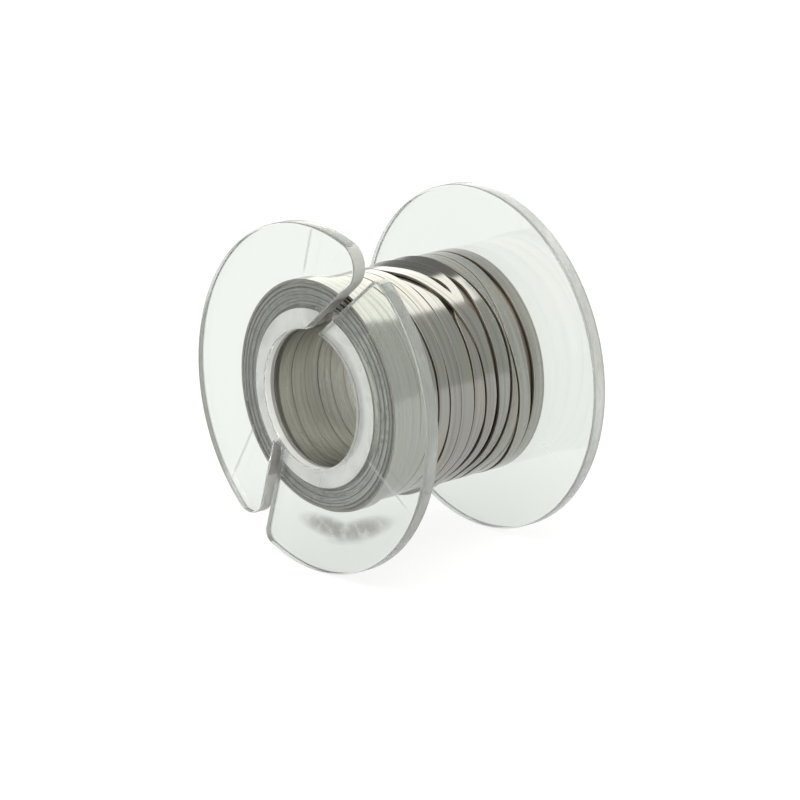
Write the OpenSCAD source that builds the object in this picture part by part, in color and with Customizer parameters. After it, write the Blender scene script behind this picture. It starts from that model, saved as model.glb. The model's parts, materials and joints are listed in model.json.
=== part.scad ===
// Clear two-flange wire spool with a slotted front flange, wound with flat ribbon wire.
// The axis lies along Y with the slotted flange in front at -Y, and the spool stands on its rims.
// All sizes are in millimetres. Angles in the plane of a flange are seen from the front:
// 0 is right (+X) and 90 is up (+Z).

/* [Spool] */
// Length over both flanges
spool_l = 22.4; // [16:0.2:36]
// Diameter of the bore that takes a spindle
bore_d = 13.5; // [9:0.1:14.5]

/* [Flanges] */
// Diameter of both flanges
flange_d = 34; // [30:0.5:60]
// Thickness of each flange
flange_t = 1.5; // [1.2:0.1:2.4]
// Radius along both edges of each rim
rim_round = 0.3; // [0.1:0.05:0.5]
// Radius along the outer edge of the bore
bore_round = 0.2; // [0.1:0.05:0.4]

/* [Barrel] */
// Wall of the barrel tube
barrel_wall = 1.95; // [1.2:0.05:2.2]
// Depth of the socket in each flange that centres the barrel
socket_depth = 0.4; // [0.2:0.1:0.8]
// Clearance round the barrel in its sockets
socket_clear = 0.03; // [0.01:0.01:0.08]
// Depth of the notch that the open slot makes in the barrel, behind the flange
notch_depth = 2; // [0.5:0.1:4]

/* [Open slot] */
// Width of the slot that is open into the bore
open_slot_w = 1.25; // [0.8:0.05:1.8]
// Place on the edge of the bore where it starts
open_slot_at = 88; // [70:1:100]
// Direction in which it runs out to the rim
open_slot_heading = 41; // [36:1:80]
// Radius of its upper corner at the rim
open_slot_upper_round = 2.3; // [0.8:0.1:3]
// Radius of its lower corner at the rim
open_slot_lower_round = 1.3; // [0.8:0.1:3]

/* [Closed slot] */
// Width of the slot that stops short of the bore
closed_slot_w = 1.15; // [0.8:0.05:1.8]
// Plastic left between its end and the bore
closed_slot_web = 0.7; // [0.6:0.05:1.2]
// Place round the bore where it starts
closed_slot_at = 229.6; // [215:0.2:245]
// Direction in which it runs out to the rim
closed_slot_heading = 254; // [235:1:262]
// Radius of its lower corner at the rim
closed_slot_lower_round = 1.3; // [0.8:0.1:3]
// Radius of its upper corner at the rim
closed_slot_upper_round = 2.2; // [0.8:0.1:3]

/* [Ribbon] */
// Height of the winding above the barrel
build_up = 2.2; // [1.4:0.1:4]
// Clearance between the barrel and the first layer
layer_clear = 0.05; // [0.02:0.01:0.2]
// Gap between the winding and the front flange
front_gap = 0.3; // [0.15:0.05:1]
// Gap between the winding and the back flange
back_gap = 0.7; // [0.15:0.05:1]
// Width of the flat ribbon in the top layer
ribbon_w = 1.1; // [0.9:0.05:2]
// Thickness of the flat ribbon in the top layer
ribbon_t = 0.25; // [0.15:0.05:0.3]
// Gap between neighbouring turns of the top layer
turn_gap = 0.44; // [0.42:0.01:0.8]
// Room between the top layer and the layers below it
lay_room = 0.16; // [0.14:0.01:0.3]
// Length of the straight tail at each end of the top layer
tail_l = 1.1; // [0.6:0.1:1.6]
// Place of the first turn's start, from the top towards the right
ribbon_start = 200; // [0:5:355]

/* [Hidden] */

$fn = 96;
cut_over = 1;
slot_reach = 2;
mouth_lap = 0.3;
mouth_cross = 0.02;
rings_per_turn = 24;
edge_bevel = 0.1;

flange_r = flange_d / 2;
bore_r = bore_d / 2;
barrel_r = bore_r + barrel_wall;
closed_slot_r = bore_r + closed_slot_web;
front_face = -spool_l / 2;
front_inner = front_face + flange_t;
back_face = spool_l / 2;
back_inner = back_face - flange_t;

wind_front = front_inner + front_gap;
wind_back = back_inner - back_gap;
wind_r = barrel_r + build_up;
core_r = wind_r - ribbon_t - lay_room;

pitch = ribbon_w + turn_gap;
travel = wind_back - wind_front - ribbon_w;
turns = travel / pitch;
rings = round(turns * rings_per_turn);
turn_step = 360 * turns / rings;
band_r = wind_r - ribbon_t;

// The band's section: distance along the axis from its middle, and height above its underside
band_section = [
    [-ribbon_w / 2, ribbon_t / 2],
    [-ribbon_w / 2 + edge_bevel, 0],
    [ribbon_w / 2 - edge_bevel, 0],
    [ribbon_w / 2, ribbon_t / 2],
    [ribbon_w / 2 - edge_bevel, ribbon_t],
    [-ribbon_w / 2 + edge_bevel, ribbon_t]
];
sides = len(band_section);

// Unit vector in the plane of a flange
function heading(a) = [cos(a), sin(a)];

// Square of a number
function sq(v) = v * v;

// Centre of the arc of radius r that rounds a slot's wall into the rim.
// start is a point on the wall, dir is the slot's direction and side points into the plastic.
// The arc's circle passes the wall and the rim by mouth_cross, so that it cuts both cleanly.
function mouth_centre(start, dir, side, r) =
    let (off = start * side + r - mouth_cross)
    side * off + dir * sqrt(sq(flange_r - r + mouth_cross) - sq(off));

// Stands a shape drawn in X and Y up as seen from the front, rising from y towards -Y
module facing_front(y) {
    translate([0, y, 0])
        rotate([90, 0, 0])
            children();
}

// Stands a shape up the same way, rising from y towards +Y
module facing_back(y) {
    mirror([0, 1, 0])
        facing_front(-y)
            children();
}

// What is cut away from a rim's or a bore's edge to leave a round of radius r at the origin
module edge_waste(r) {
    difference() {
        translate([-cut_over, -cut_over])
            square(r + cut_over);
        translate([r, r])
            circle(r);
    }
}

// Half section of a flange: the inner face lies at height 0 and the outer face at flange_t
module flange_profile() {
    difference() {
        translate([bore_r, 0])
            square([flange_r - bore_r, flange_t]);
        translate([flange_r, 0])
            mirror([1, 0])
                edge_waste(rim_round);
        translate([flange_r, flange_t])
            mirror([1, 0])
                mirror([0, 1])
                    edge_waste(rim_round);
        translate([bore_r, flange_t])
            mirror([0, 1])
                edge_waste(bore_round);
        translate([bore_r - cut_over, -cut_over])
            square([barrel_wall + socket_clear + cut_over, socket_depth + cut_over]);
    }
}

module flange_disc() {
    rotate_extrude()
        flange_profile();
}

// Waste outside the rounded corner between one wall of a slot and the rim, to height h
module mouth_waste(start, dir, side, r, h) {
    centre = mouth_centre(start, dir, side, r);
    in_slot = centre - side * (r + mouth_lap);
    outward = centre / norm(centre);
    difference() {
        linear_extrude(h)
            polygon([
                centre,
                in_slot,
                in_slot + dir * 2 * r,
                centre + outward * 2 * r
            ]);
        translate([centre[0], centre[1], -cut_over])
            cylinder(h = h + 2 * cut_over, r = r);
    }
}

// A straight channel from a point at radius from_r to beyond the rim, to height h.
// back_reach carries its inner end back past the starting point.
module channel_waste(from_r, at, run, w, back_reach, h) {
    translate(from_r * heading(at))
        rotate(run)
            translate([-back_reach, -w / 2, 0])
                cube([2 * flange_r + back_reach, w, h]);
}

// Both rounded corners at the rim of a channel that starts at the same point
module mouth_corners(from_r, at, run, w, left_round, right_round, h) {
    start = from_r * heading(at);
    dir = heading(run);
    left = heading(run + 90);
    mouth_waste(start + left * w / 2, dir, left, left_round, h);
    mouth_waste(start - left * w / 2, dir, -left, right_round, h);
}

module open_channel(h) {
    channel_waste(bore_r, open_slot_at, open_slot_heading, open_slot_w, slot_reach, h);
}

module open_slot(h) {
    open_channel(h);
    mouth_corners(bore_r, open_slot_at, open_slot_heading, open_slot_w,
        open_slot_upper_round, open_slot_lower_round, h);
}

module closed_slot(h) {
    channel_waste(closed_slot_r, closed_slot_at, closed_slot_heading, closed_slot_w, 0, h);
    mouth_corners(closed_slot_r, closed_slot_at, closed_slot_heading, closed_slot_w,
        closed_slot_lower_round, closed_slot_upper_round, h);
}

// Clear disc with the two slots through which an end of the ribbon is led
module front_flange() {
    color([0.90, 0.96, 0.93, 0.45])
        facing_front(front_inner)
            difference() {
                flange_disc();
                translate([0, 0, -cut_over])
                    open_slot(flange_t + 2 * cut_over);
                translate([0, 0, -cut_over])
                    closed_slot(flange_t + 2 * cut_over);
            }
}

// Clear tube that stands in a socket in each flange
module barrel() {
    color([0.93, 0.97, 0.95, 0.45])
        facing_front(back_inner + socket_depth)
            difference() {
                cylinder(h = back_inner - front_inner + 2 * socket_depth, r = barrel_r);
                translate([0, 0, -cut_over])
                    cylinder(h = spool_l, r = bore_r);
                translate([0, 0, back_inner + socket_depth - front_inner - notch_depth])
                    open_channel(spool_l);
            }
}

// Plain clear disc
module back_flange() {
    color([0.90, 0.96, 0.93, 0.45])
        facing_back(back_inner)
            flange_disc();
}

// The inner layers of the ribbon, wound tight into one drum
module ribbon_core() {
    color([0.55, 0.55, 0.54])
        facing_front(wind_back)
            difference() {
                cylinder(h = wind_back - wind_front, r = core_r);
                translate([0, 0, -cut_over])
                    cylinder(h = spool_l, r = barrel_r + layer_clear);
            }
}

// Angle of the k-th ring of the band, from the top towards the right
function ring_angle(k) = ribbon_start + turn_step * k;

// Place along the axis of the k-th ring of the band
function ring_y(k) = wind_front + ribbon_w / 2 + travel * k / rings;

// Outward direction at the k-th ring, and the direction in which the band runs on from it
function ring_out(k) = [sin(ring_angle(k)), 0, cos(ring_angle(k))];
function ring_ahead(k) = [cos(ring_angle(k)), 0, -sin(ring_angle(k))];

// The points of one section of the band at the k-th ring, moved by shift along the band
function ring_points(k, shift) = [
    for (s = band_section)
        ring_out(k) * (band_r + s[1]) + [0, ring_y(k) + s[0], 0] + ring_ahead(k) * shift
];

// All sections of the band: a straight tail, the turns and a straight tail
band_rings = concat(
    [ring_points(0, -tail_l)],
    [for (k = [0 : rings]) ring_points(k, 0)],
    [ring_points(rings, tail_l)]
);
band_points = [for (r = band_rings) each r];
last_ring = len(band_rings) - 1;

// Number of the s-th point of the i-th section
function pt(i, s) = i * sides + s % sides;

// Triangles of the band's sides and of its two cut ends
band_faces = concat(
    [
        for (i = [0 : last_ring - 1])
            for (s = [0 : sides - 1])
                each [
                    [pt(i, s), pt(i, s + 1), pt(i + 1, s + 1)],
                    [pt(i, s), pt(i + 1, s + 1), pt(i + 1, s)]
                ]
    ],
    [for (s = [1 : sides - 2]) [pt(0, 0), pt(0, s + 1), pt(0, s)]],
    [for (s = [1 : sides - 2]) [pt(last_ring, 0), pt(last_ring, s), pt(last_ring, s + 1)]]
);

// The outer layer of the ribbon: one unbroken band
module ribbon_top_layer() {
    color([0.72, 0.72, 0.71])
        polyhedron(points = band_points, faces = band_faces, convexity = 10);
}

// Least distance between any point of one turn and any point of the next, measured on the sections
function least_between(a, b) = min([for (p = a) for (q = b) norm(p - q)]);
least_gap = min([
    for (i = [0 : last_ring - rings_per_turn + 1])
        for (j = [i + rings_per_turn - 2 : min(i + rings_per_turn + 2, last_ring)])
            least_between(band_rings[i], band_rings[j])
]);
echo(str("turns in the top layer: ", turns));
echo(str("least gap between turns of the top layer: ", least_gap, " mm"));

front_flange();
barrel();
back_flange();
ribbon_core();
ribbon_top_layer();
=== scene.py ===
"""Looks of a clear two-flange wire spool, wound with bright flat ribbon wire and standing on its rims.

The spool's axis lies along Y with the slotted flange in front at -Y. Angles in the plane of a flange are
seen from the front, 0 to the right and 90 up. Angles round the winding run from the top towards the right.
Sizes are in metres, and MM turns a size written in millimetres into metres.
"""

import json
import logging
import math
from dataclasses import dataclass
from enum import Enum
from typing import Callable, Iterable, Sequence

import bpy
import bmesh
import numpy as np
from mathutils import Matrix, Vector


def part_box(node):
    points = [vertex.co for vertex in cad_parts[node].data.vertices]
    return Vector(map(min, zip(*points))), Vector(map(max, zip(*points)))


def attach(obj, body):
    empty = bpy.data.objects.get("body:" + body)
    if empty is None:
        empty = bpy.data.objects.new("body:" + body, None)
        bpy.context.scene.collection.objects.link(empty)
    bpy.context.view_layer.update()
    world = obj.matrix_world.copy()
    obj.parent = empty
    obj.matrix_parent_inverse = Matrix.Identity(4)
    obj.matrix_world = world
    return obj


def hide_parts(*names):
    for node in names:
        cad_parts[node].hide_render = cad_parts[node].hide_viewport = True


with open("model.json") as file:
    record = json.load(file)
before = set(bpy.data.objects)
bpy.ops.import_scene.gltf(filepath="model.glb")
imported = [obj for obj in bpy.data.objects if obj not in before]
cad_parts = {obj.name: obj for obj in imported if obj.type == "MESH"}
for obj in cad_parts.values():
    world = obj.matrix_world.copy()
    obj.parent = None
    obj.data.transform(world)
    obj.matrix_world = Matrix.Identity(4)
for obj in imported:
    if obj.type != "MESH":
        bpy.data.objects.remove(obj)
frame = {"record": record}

LOG = logging.getLogger("wire_spool")
MM = 0.001
FULL_TURN = 2 * math.pi
SPOOL_AXIS = (0.0, 1.0, 0.0)
WELD = 0.0005 * MM
BODY = "root"

Piece = bpy.types.Object
Socket = bpy.types.NodeSocket
Colour = tuple[float, float, float, float]
Place = tuple[float, float]
Span = tuple[float, float]


class Node(str, Enum):
    """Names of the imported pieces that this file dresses."""

    FRONT_FLANGE = "front_flange"
    BARREL = "barrel"
    BACK_FLANGE = "back_flange"
    CORE = "ribbon_core"
    TOP_LAYER = "ribbon_top_layer"


class Slot(str, Enum):
    """Material slots of the record."""

    CLEAR_FLANGE = "clear_flange"
    CLEAR_BARREL = "clear_barrel"
    RIBBON = "ribbon_metal"


@dataclass(frozen=True)
class SpoolSizes:
    """Sizes of the spool that every class shares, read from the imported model."""

    flange_r: float
    bore_r: float
    barrel_r: float
    front_face: float
    front_inner: float
    back_inner: float
    back_face: float
    barrel_front: float
    barrel_back: float
    wind_back: float
    wind_r: float

    @classmethod
    def from_frame(cls) -> "SpoolSizes":
        """Reads the sizes from the boxes of the nodes and from the bore's mount.

        Returns:
            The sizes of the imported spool.
        """
        front_low, front_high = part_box(Node.FRONT_FLANGE)
        back_low, back_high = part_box(Node.BACK_FLANGE)
        barrel_low, barrel_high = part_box(Node.BARREL)
        _, top_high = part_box(Node.TOP_LAYER)
        bore = next(m for m in frame["record"]["mounts"] if m["name"] == "bore")
        return cls(
            flange_r=back_high.z,
            bore_r=bore["dims"]["r_mm"] * MM,
            barrel_r=barrel_high.z,
            front_face=front_low.y,
            front_inner=front_high.y,
            back_inner=back_low.y,
            back_face=back_high.y,
            barrel_front=barrel_low.y,
            barrel_back=barrel_high.y,
            wind_back=top_high.y,
            wind_r=top_high.z,
        )


# ---------------------------------------------------------------------------------------------------------
# Modelling by hand: helpers round bpy.ops
# ---------------------------------------------------------------------------------------------------------


def leave_edit() -> None:
    """Goes back to object mode."""
    bpy.ops.object.mode_set(mode="OBJECT")


def deselect_all() -> None:
    """Leaves object mode with nothing selected."""
    if bpy.context.object and bpy.context.object.mode != "OBJECT":
        leave_edit()
    bpy.ops.object.select_all(action="DESELECT")


def make_active(piece: Piece) -> None:
    """Selects one object alone and makes it the active one.

    Args:
        piece: Object that the next operators work on.
    """
    deselect_all()
    piece.select_set(True)
    bpy.context.view_layer.objects.active = piece


def named(name: str) -> Piece:
    """Names the object that was just added, and its mesh.

    Args:
        name: New name of both.

    Returns:
        The object.
    """
    piece = bpy.context.object
    piece.name = piece.data.name = name
    return piece


def settle(piece: Piece) -> None:
    """Puts an object's place, turn and scale into its mesh."""
    make_active(piece)
    bpy.ops.object.transform_apply(location=True, rotation=True, scale=True)


def apply_modifier(piece: Piece, kind: str, **settings: object) -> None:
    """Adds a modifier to a piece, sets it up and applies it.

    Args:
        piece: Object that takes the modifier.
        kind: Blender's type of modifier.
        **settings: Its properties by name.
    """
    make_active(piece)
    bpy.ops.object.modifier_add(type=kind)
    modifier = piece.modifiers[-1]
    for key, value in settings.items():
        setattr(modifier, key, value)
    bpy.ops.object.modifier_apply(modifier=modifier.name)


def select_where(piece: Piece, kind: str, test: Callable[..., bool] = lambda element: True) -> int:
    """Enters edit mode and selects the vertices, edges or faces that pass a test.

    Args:
        piece: Object to edit.
        kind: "VERT", "EDGE" or "FACE".
        test: Takes a bmesh element and says whether it is selected.

    Returns:
        How many elements are selected.
    """
    make_active(piece)
    bpy.ops.object.mode_set(mode="EDIT")
    bpy.ops.mesh.select_mode(type=kind)
    bpy.ops.mesh.select_all(action="DESELECT")
    edit = bmesh.from_edit_mesh(piece.data)
    elements = {"VERT": edit.verts, "EDGE": edit.edges, "FACE": edit.faces}[kind]
    elements.ensure_lookup_table()
    picked = [element for element in elements if test(element)]
    for element in picked:
        element.select_set(True)
    edit.select_flush_mode()
    bmesh.update_edit_mesh(piece.data)
    return len(picked)


def turn_normals_out() -> None:
    """Turns all the normals of the mesh in edit mode outward and leaves edit mode."""
    bpy.ops.mesh.select_all(action="SELECT")
    bpy.ops.mesh.normals_make_consistent(inside=False)
    leave_edit()


def paint_faces(piece: Piece, slot: int, test: Callable[[bmesh.types.BMFace], bool]) -> None:
    """Gives the faces that pass a test one of the piece's materials.

    Args:
        piece: Finished piece, with its materials.
        slot: Place of the material in the piece's list.
        test: Takes a face and says whether it gets the material.
    """
    select_where(piece, "FACE", test)
    piece.active_material_index = slot
    bpy.ops.object.material_slot_assign()
    leave_edit()


def cut_away(piece: Piece, cutter: Piece) -> None:
    """Subtracts a closed cutter from a piece and deletes the cutter."""
    apply_modifier(piece, "BOOLEAN", operation="DIFFERENCE", solver="EXACT", object=cutter)
    bpy.data.objects.remove(cutter, do_unlink=True)


def rod(name: str, radius: float, start: float, end: float, sides: int) -> Piece:
    """Adds a cylinder along the spool's axis.

    Args:
        name: Name of the object.
        radius: Its radius.
        start: Place of its front end along Y.
        end: Place of its back end along Y.
        sides: Number of its sides.

    Returns:
        The cylinder, with its place in its mesh.
    """
    deselect_all()
    bpy.ops.mesh.primitive_cylinder_add(
        vertices=sides,
        radius=radius,
        depth=end - start,
        end_fill_type="NGON",
        location=(0, (start + end) / 2, 0),
        rotation=(math.pi / 2, 0, 0),
    )
    piece = named(name)
    settle(piece)
    return piece


def prism(name: str, corners: Sequence[Place], start: float, end: float) -> Piece:
    """Adds a plane, draws its four corners out to an outline and extrudes it along the spool's axis.

    Args:
        name: Name of the object.
        corners: Four (x, z) corners in order.
        start: Place of the front end along Y.
        end: Place of the back end along Y.

    Returns:
        The closed prism.
    """
    deselect_all()
    bpy.ops.mesh.primitive_plane_add(size=1, location=(0, start, 0), rotation=(math.pi / 2, 0, 0))
    piece = named(name)
    settle(piece)
    ring = [piece.data.vertices[i] for i in piece.data.polygons[0].vertices]
    for vertex, (x, z) in zip(ring, corners):
        vertex.co = (x, start, z)
    select_where(piece, "FACE")
    bpy.ops.mesh.extrude_region_move(TRANSFORM_OT_translate={"value": (0, end - start, 0)})
    turn_normals_out()
    return piece


def section_plane(name: str, inner: float, outer: float, start: float, end: float) -> Piece:
    """Adds the upright section of a turned piece: a plane over the top of the axis.

    Args:
        name: Name of the object.
        inner: Least distance from the axis.
        outer: Greatest distance from the axis.
        start: Place of its front edge along Y.
        end: Place of its back edge along Y.

    Returns:
        The section, with its place in its mesh.
    """
    deselect_all()
    middle = (0, (start + end) / 2, (inner + outer) / 2)
    bpy.ops.mesh.primitive_plane_add(size=1, location=middle, rotation=(0, math.pi / 2, 0))
    piece = named(name)
    piece.scale = (outer - inner, end - start, 1)
    settle(piece)
    return piece


def round_corners(
    section: Piece, radius: float, segments: int, test: Callable[[Vector], bool] = lambda place: True
) -> None:
    """Rounds those corners of a section that pass a test.

    Args:
        section: Flat section.
        radius: Radius of the round.
        segments: Steps in each round.
        test: Takes a corner's place and says whether it is rounded.
    """
    select_where(section, "VERT", lambda vertex: test(vertex.co))
    bpy.ops.mesh.bevel(offset=radius, segments=segments, affect="VERTICES", clamp_overlap=True)
    leave_edit()


def drop_face(section: Piece) -> None:
    """Deletes the face of a section, keeps its outline and stays in edit mode."""
    select_where(section, "FACE")
    bpy.ops.mesh.delete(type="ONLY_FACE")


def turn_on_axis(section: Piece, steps: int) -> None:
    """Spins a section once round the spool's axis into a closed turned piece.

    Args:
        section: Flat section, which becomes the piece.
        steps: Number of steps in the full turn.
    """
    drop_face(section)
    bpy.ops.mesh.select_mode(type="EDGE")
    bpy.ops.mesh.select_all(action="SELECT")
    bpy.ops.mesh.spin(steps=steps, angle=FULL_TURN, center=(0, 0, 0), axis=SPOOL_AXIS)
    bpy.ops.mesh.select_all(action="SELECT")
    bpy.ops.mesh.remove_doubles(threshold=WELD)
    turn_normals_out()


def finish_shading(piece: Piece, angle_deg: float = 35.0) -> None:
    """Shades a piece smooth across its rounds and keeps its flats flat.

    Args:
        piece: Finished mesh.
        angle_deg: Edges sharper than this stay sharp.
    """
    make_active(piece)
    bpy.ops.object.shade_smooth_by_angle(angle=math.radians(angle_deg))
    apply_modifier(piece, "WEIGHTED_NORMAL", keep_sharp=True, weight=100)


# ---------------------------------------------------------------------------------------------------------
# Finishes
# ---------------------------------------------------------------------------------------------------------


class NodeBench:
    """Short ways to add and link the nodes of one material or world."""

    def __init__(self, tree: bpy.types.NodeTree) -> None:
        """Keeps the node tree that is worked on and empties it."""
        self.tree = tree
        tree.nodes.clear()

    def add(self, kind: str, **settings: object) -> bpy.types.Node:
        """Adds a node.

        Args:
            kind: Blender's type of node, without "ShaderNode".
            **settings: Its properties by name.

        Returns:
            The node.
        """
        node = self.tree.nodes.new("ShaderNode" + kind)
        for key, value in settings.items():
            setattr(node, key, value)
        return node

    def put(self, value: object, target: Socket) -> None:
        """Links a socket, or sets a plain value, on an input.

        Args:
            value: Socket or plain value.
            target: Input that takes it.
        """
        if isinstance(value, Socket):
            self.tree.links.new(value, target)
        else:
            target.default_value = value

    def filled(self, kind: str, inputs: dict[str | int, object]) -> bpy.types.Node:
        """Adds a node with some of its inputs linked or set.

        Args:
            kind: Blender's type of node, without "ShaderNode".
            inputs: A socket or a plain value for each input.

        Returns:
            The node.
        """
        node = self.add(kind)
        for key, value in inputs.items():
            self.put(value, node.inputs[key])
        return node

    def coords(self, kind: str = "Object") -> Socket:
        """Gives the coordinates of one kind."""
        return self.add("TexCoord").outputs[kind]

    def axes(self, vector: Socket) -> Sequence[Socket]:
        """Splits coordinates into X, Y and Z."""
        return self.filled("SeparateXYZ", {"Vector": vector}).outputs

    def math(self, operation: str, *values: object) -> Socket:
        """Adds a Math node.

        Args:
            operation: Blender's name of the operation.
            *values: Its inputs, each a socket or a number.

        Returns:
            Its output.
        """
        node = self.add("Math", operation=operation)
        for value, target in zip(values, node.inputs):
            self.put(value, target)
        return node.outputs[0]

    def step(self, value: Socket, span: Span) -> Socket:
        """Gives a smooth step from 0 at the span's start to 1 at its end.

        Args:
            value: Socket that is stepped.
            span: Values at which the step starts and ends.

        Returns:
            The step's output.
        """
        node = self.filled("MapRange", {"Value": value, "From Min": span[0], "From Max": span[1]})
        node.interpolation_type = "SMOOTHSTEP"
        return node.outputs["Result"]

    def fall(self, value: Socket, span: Span) -> Socket:
        """Gives a smooth step from 1 down to 0."""
        return self.math("SUBTRACT", 1.0, self.step(value, span))

    def noise(self, vector: Socket, scale: float = 1.0, detail: float = 2.0) -> Socket:
        """Adds a noise texture.

        Args:
            vector: Coordinates that it reads.
            scale: Its scale.
            detail: Its detail.

        Returns:
            Its value, about 0.5 on average.
        """
        return self.filled("TexNoise", {"Vector": vector, "Scale": scale, "Detail": detail}).outputs["Fac"]

    def mapped(self, vector: Socket, scale: Sequence[float]) -> Socket:
        """Scales coordinates by axis with a Mapping node."""
        return self.filled("Mapping", {"Vector": vector, "Scale": scale}).outputs["Vector"]

    def off_centre(self, coords: Socket, middle: float) -> Socket:
        """Gives the distance along Y from a middle that stands as far in front of the origin as behind it."""
        away = self.math("ABSOLUTE", self.axes(coords)["Y"])
        return self.math("ABSOLUTE", self.math("SUBTRACT", away, middle))

    def radius(self, coords: Socket) -> Socket:
        """Gives the distance from the spool's axis."""
        x, z = (self.math("POWER", self.axes(coords)[axis], 2.0) for axis in "XZ")
        return self.math("SQRT", self.math("ADD", x, z))

    def mix_colour(self, share: Socket, first: object, second: object) -> Socket:
        """Mixes two colours.

        Args:
            share: Share of the second colour.
            first: First colour.
            second: Second colour.

        Returns:
            The mixed colour.
        """
        node = self.add("Mix", data_type="RGBA")
        for target, value in ((0, share), (6, first), (7, second)):
            self.put(value, node.inputs[target])
        return node.outputs[2]

    def bump(self, height: Socket, distance: float) -> Socket:
        """Gives the normal of a bump."""
        return self.filled("Bump", {"Height": height, "Distance": distance}).outputs["Normal"]

    def principled(self, inputs: dict[str, object]) -> Socket:
        """Adds a Principled shader with some of its inputs linked or set."""
        return self.filled("BsdfPrincipled", inputs).outputs["BSDF"]

    def finish(self, shader: Socket, kind: str = "Material") -> None:
        """Links a shader to the output of the material or world."""
        self.filled("Output" + kind, {"Surface": shader})


@dataclass(frozen=True)
class Finish:
    """A material, described by its colours and measures."""

    name: str

    def surface(self, bench: NodeBench) -> Socket:
        """Gives the shader of the surface."""
        raise NotImplementedError

    def material(self) -> bpy.types.Material:
        """Builds the material round its surface's shader.

        Returns:
            The material.
        """
        material = bpy.data.materials.new(self.name)
        material.use_nodes = True
        bench = NodeBench(material.node_tree)
        bench.finish(self.surface(bench))
        return material


@dataclass(frozen=True)
class Drawing:
    """A shape that is drawn on the outer face of a flange."""

    def share(self, bench: NodeBench, x: Socket, z: Socket) -> Socket:
        """Gives how strongly the shape shows at each place."""
        raise NotImplementedError

    def along_and_off(
        self, bench: NodeBench, x: Socket, z: Socket, start: Place, ahead: Place
    ) -> tuple[Socket, Socket]:
        """Gives the distance along a line and the distance off it.

        Args:
            bench: Node tree that it is drawn in.
            x: Coordinate across the flange.
            z: Coordinate up the flange.
            start: Point on the line.
            ahead: Direction of the line, of length 1.

        Returns:
            The distance along the line from its start, and off it to its left.
        """
        dx = bench.math("SUBTRACT", x, start[0])
        dz = bench.math("SUBTRACT", z, start[1])
        along = bench.math("MULTIPLY_ADD", dx, ahead[0], bench.math("MULTIPLY", dz, ahead[1]))
        off = bench.math("MULTIPLY_ADD", dx, -ahead[1], bench.math("MULTIPLY", dz, ahead[0]))
        return along, off


@dataclass(frozen=True)
class Mark(Drawing):
    """A straight fine line on a flange: a knit line of the moulding, or a scratch.

    Attributes:
        start: One end of the line, as (x, z).
        end: Its other end.
        width: Width of the line.
        full_from: Share of its length after which it shows in full.
        full_to: Share of its length after which it fades.
    """

    start: Place
    end: Place
    width: float
    full_from: float = 0.1
    full_to: float = 0.7

    def share(self, bench: NodeBench, x: Socket, z: Socket) -> Socket:
        """Draws the line.

        Args:
            bench: Node tree that it is drawn in.
            x: Coordinate across the flange.
            z: Coordinate up the flange.

        Returns:
            1 on the line and 0 away from it.
        """
        length = math.dist(self.start, self.end)
        ahead = ((self.end[0] - self.start[0]) / length, (self.end[1] - self.start[1]) / length)
        along, off = self.along_and_off(bench, x, z, self.start, ahead)
        on_line = bench.fall(bench.math("ABSOLUTE", off), (0.0, self.width))
        begun = bench.step(along, (0.0, self.full_from * length))
        ended = bench.fall(along, (self.full_to * length, length))
        return bench.math("MULTIPLY", on_line, bench.math("MULTIPLY", begun, ended))


@dataclass(frozen=True)
class PaintedShadow(Drawing):
    """A soft grey patch on a flange, a painted shadow: it stands for the winding's shadow on the floor as
    seen through the flange.

    Attributes:
        middle: Its middle, as (x, z).
        heading_deg: Direction of its long way, 0 to the right and 90 up.
        half_length: Half of its length.
        half_width: Half of its width.
        strength: How grey it is in its middle.
    """

    middle: Place
    heading_deg: float
    half_length: float
    half_width: float
    strength: float

    def share(self, bench: NodeBench, x: Socket, z: Socket) -> Socket:
        """Draws the painted shadow.

        Args:
            bench: Node tree that it is drawn in.
            x: Coordinate across the flange.
            z: Coordinate up the flange.

        Returns:
            Its strength in its middle and 0 outside it.
        """
        heading = math.radians(self.heading_deg)
        along, off = self.along_and_off(bench, x, z, self.middle, (math.cos(heading), math.sin(heading)))
        long_way = bench.math("POWER", bench.math("DIVIDE", along, self.half_length), 2.0)
        short_way = bench.math("POWER", bench.math("DIVIDE", off, self.half_width), 2.0)
        inside = bench.fall(bench.math("ADD", long_way, short_way), (0.0, 1.0))
        return bench.math("MULTIPLY", inside, self.strength)


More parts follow.
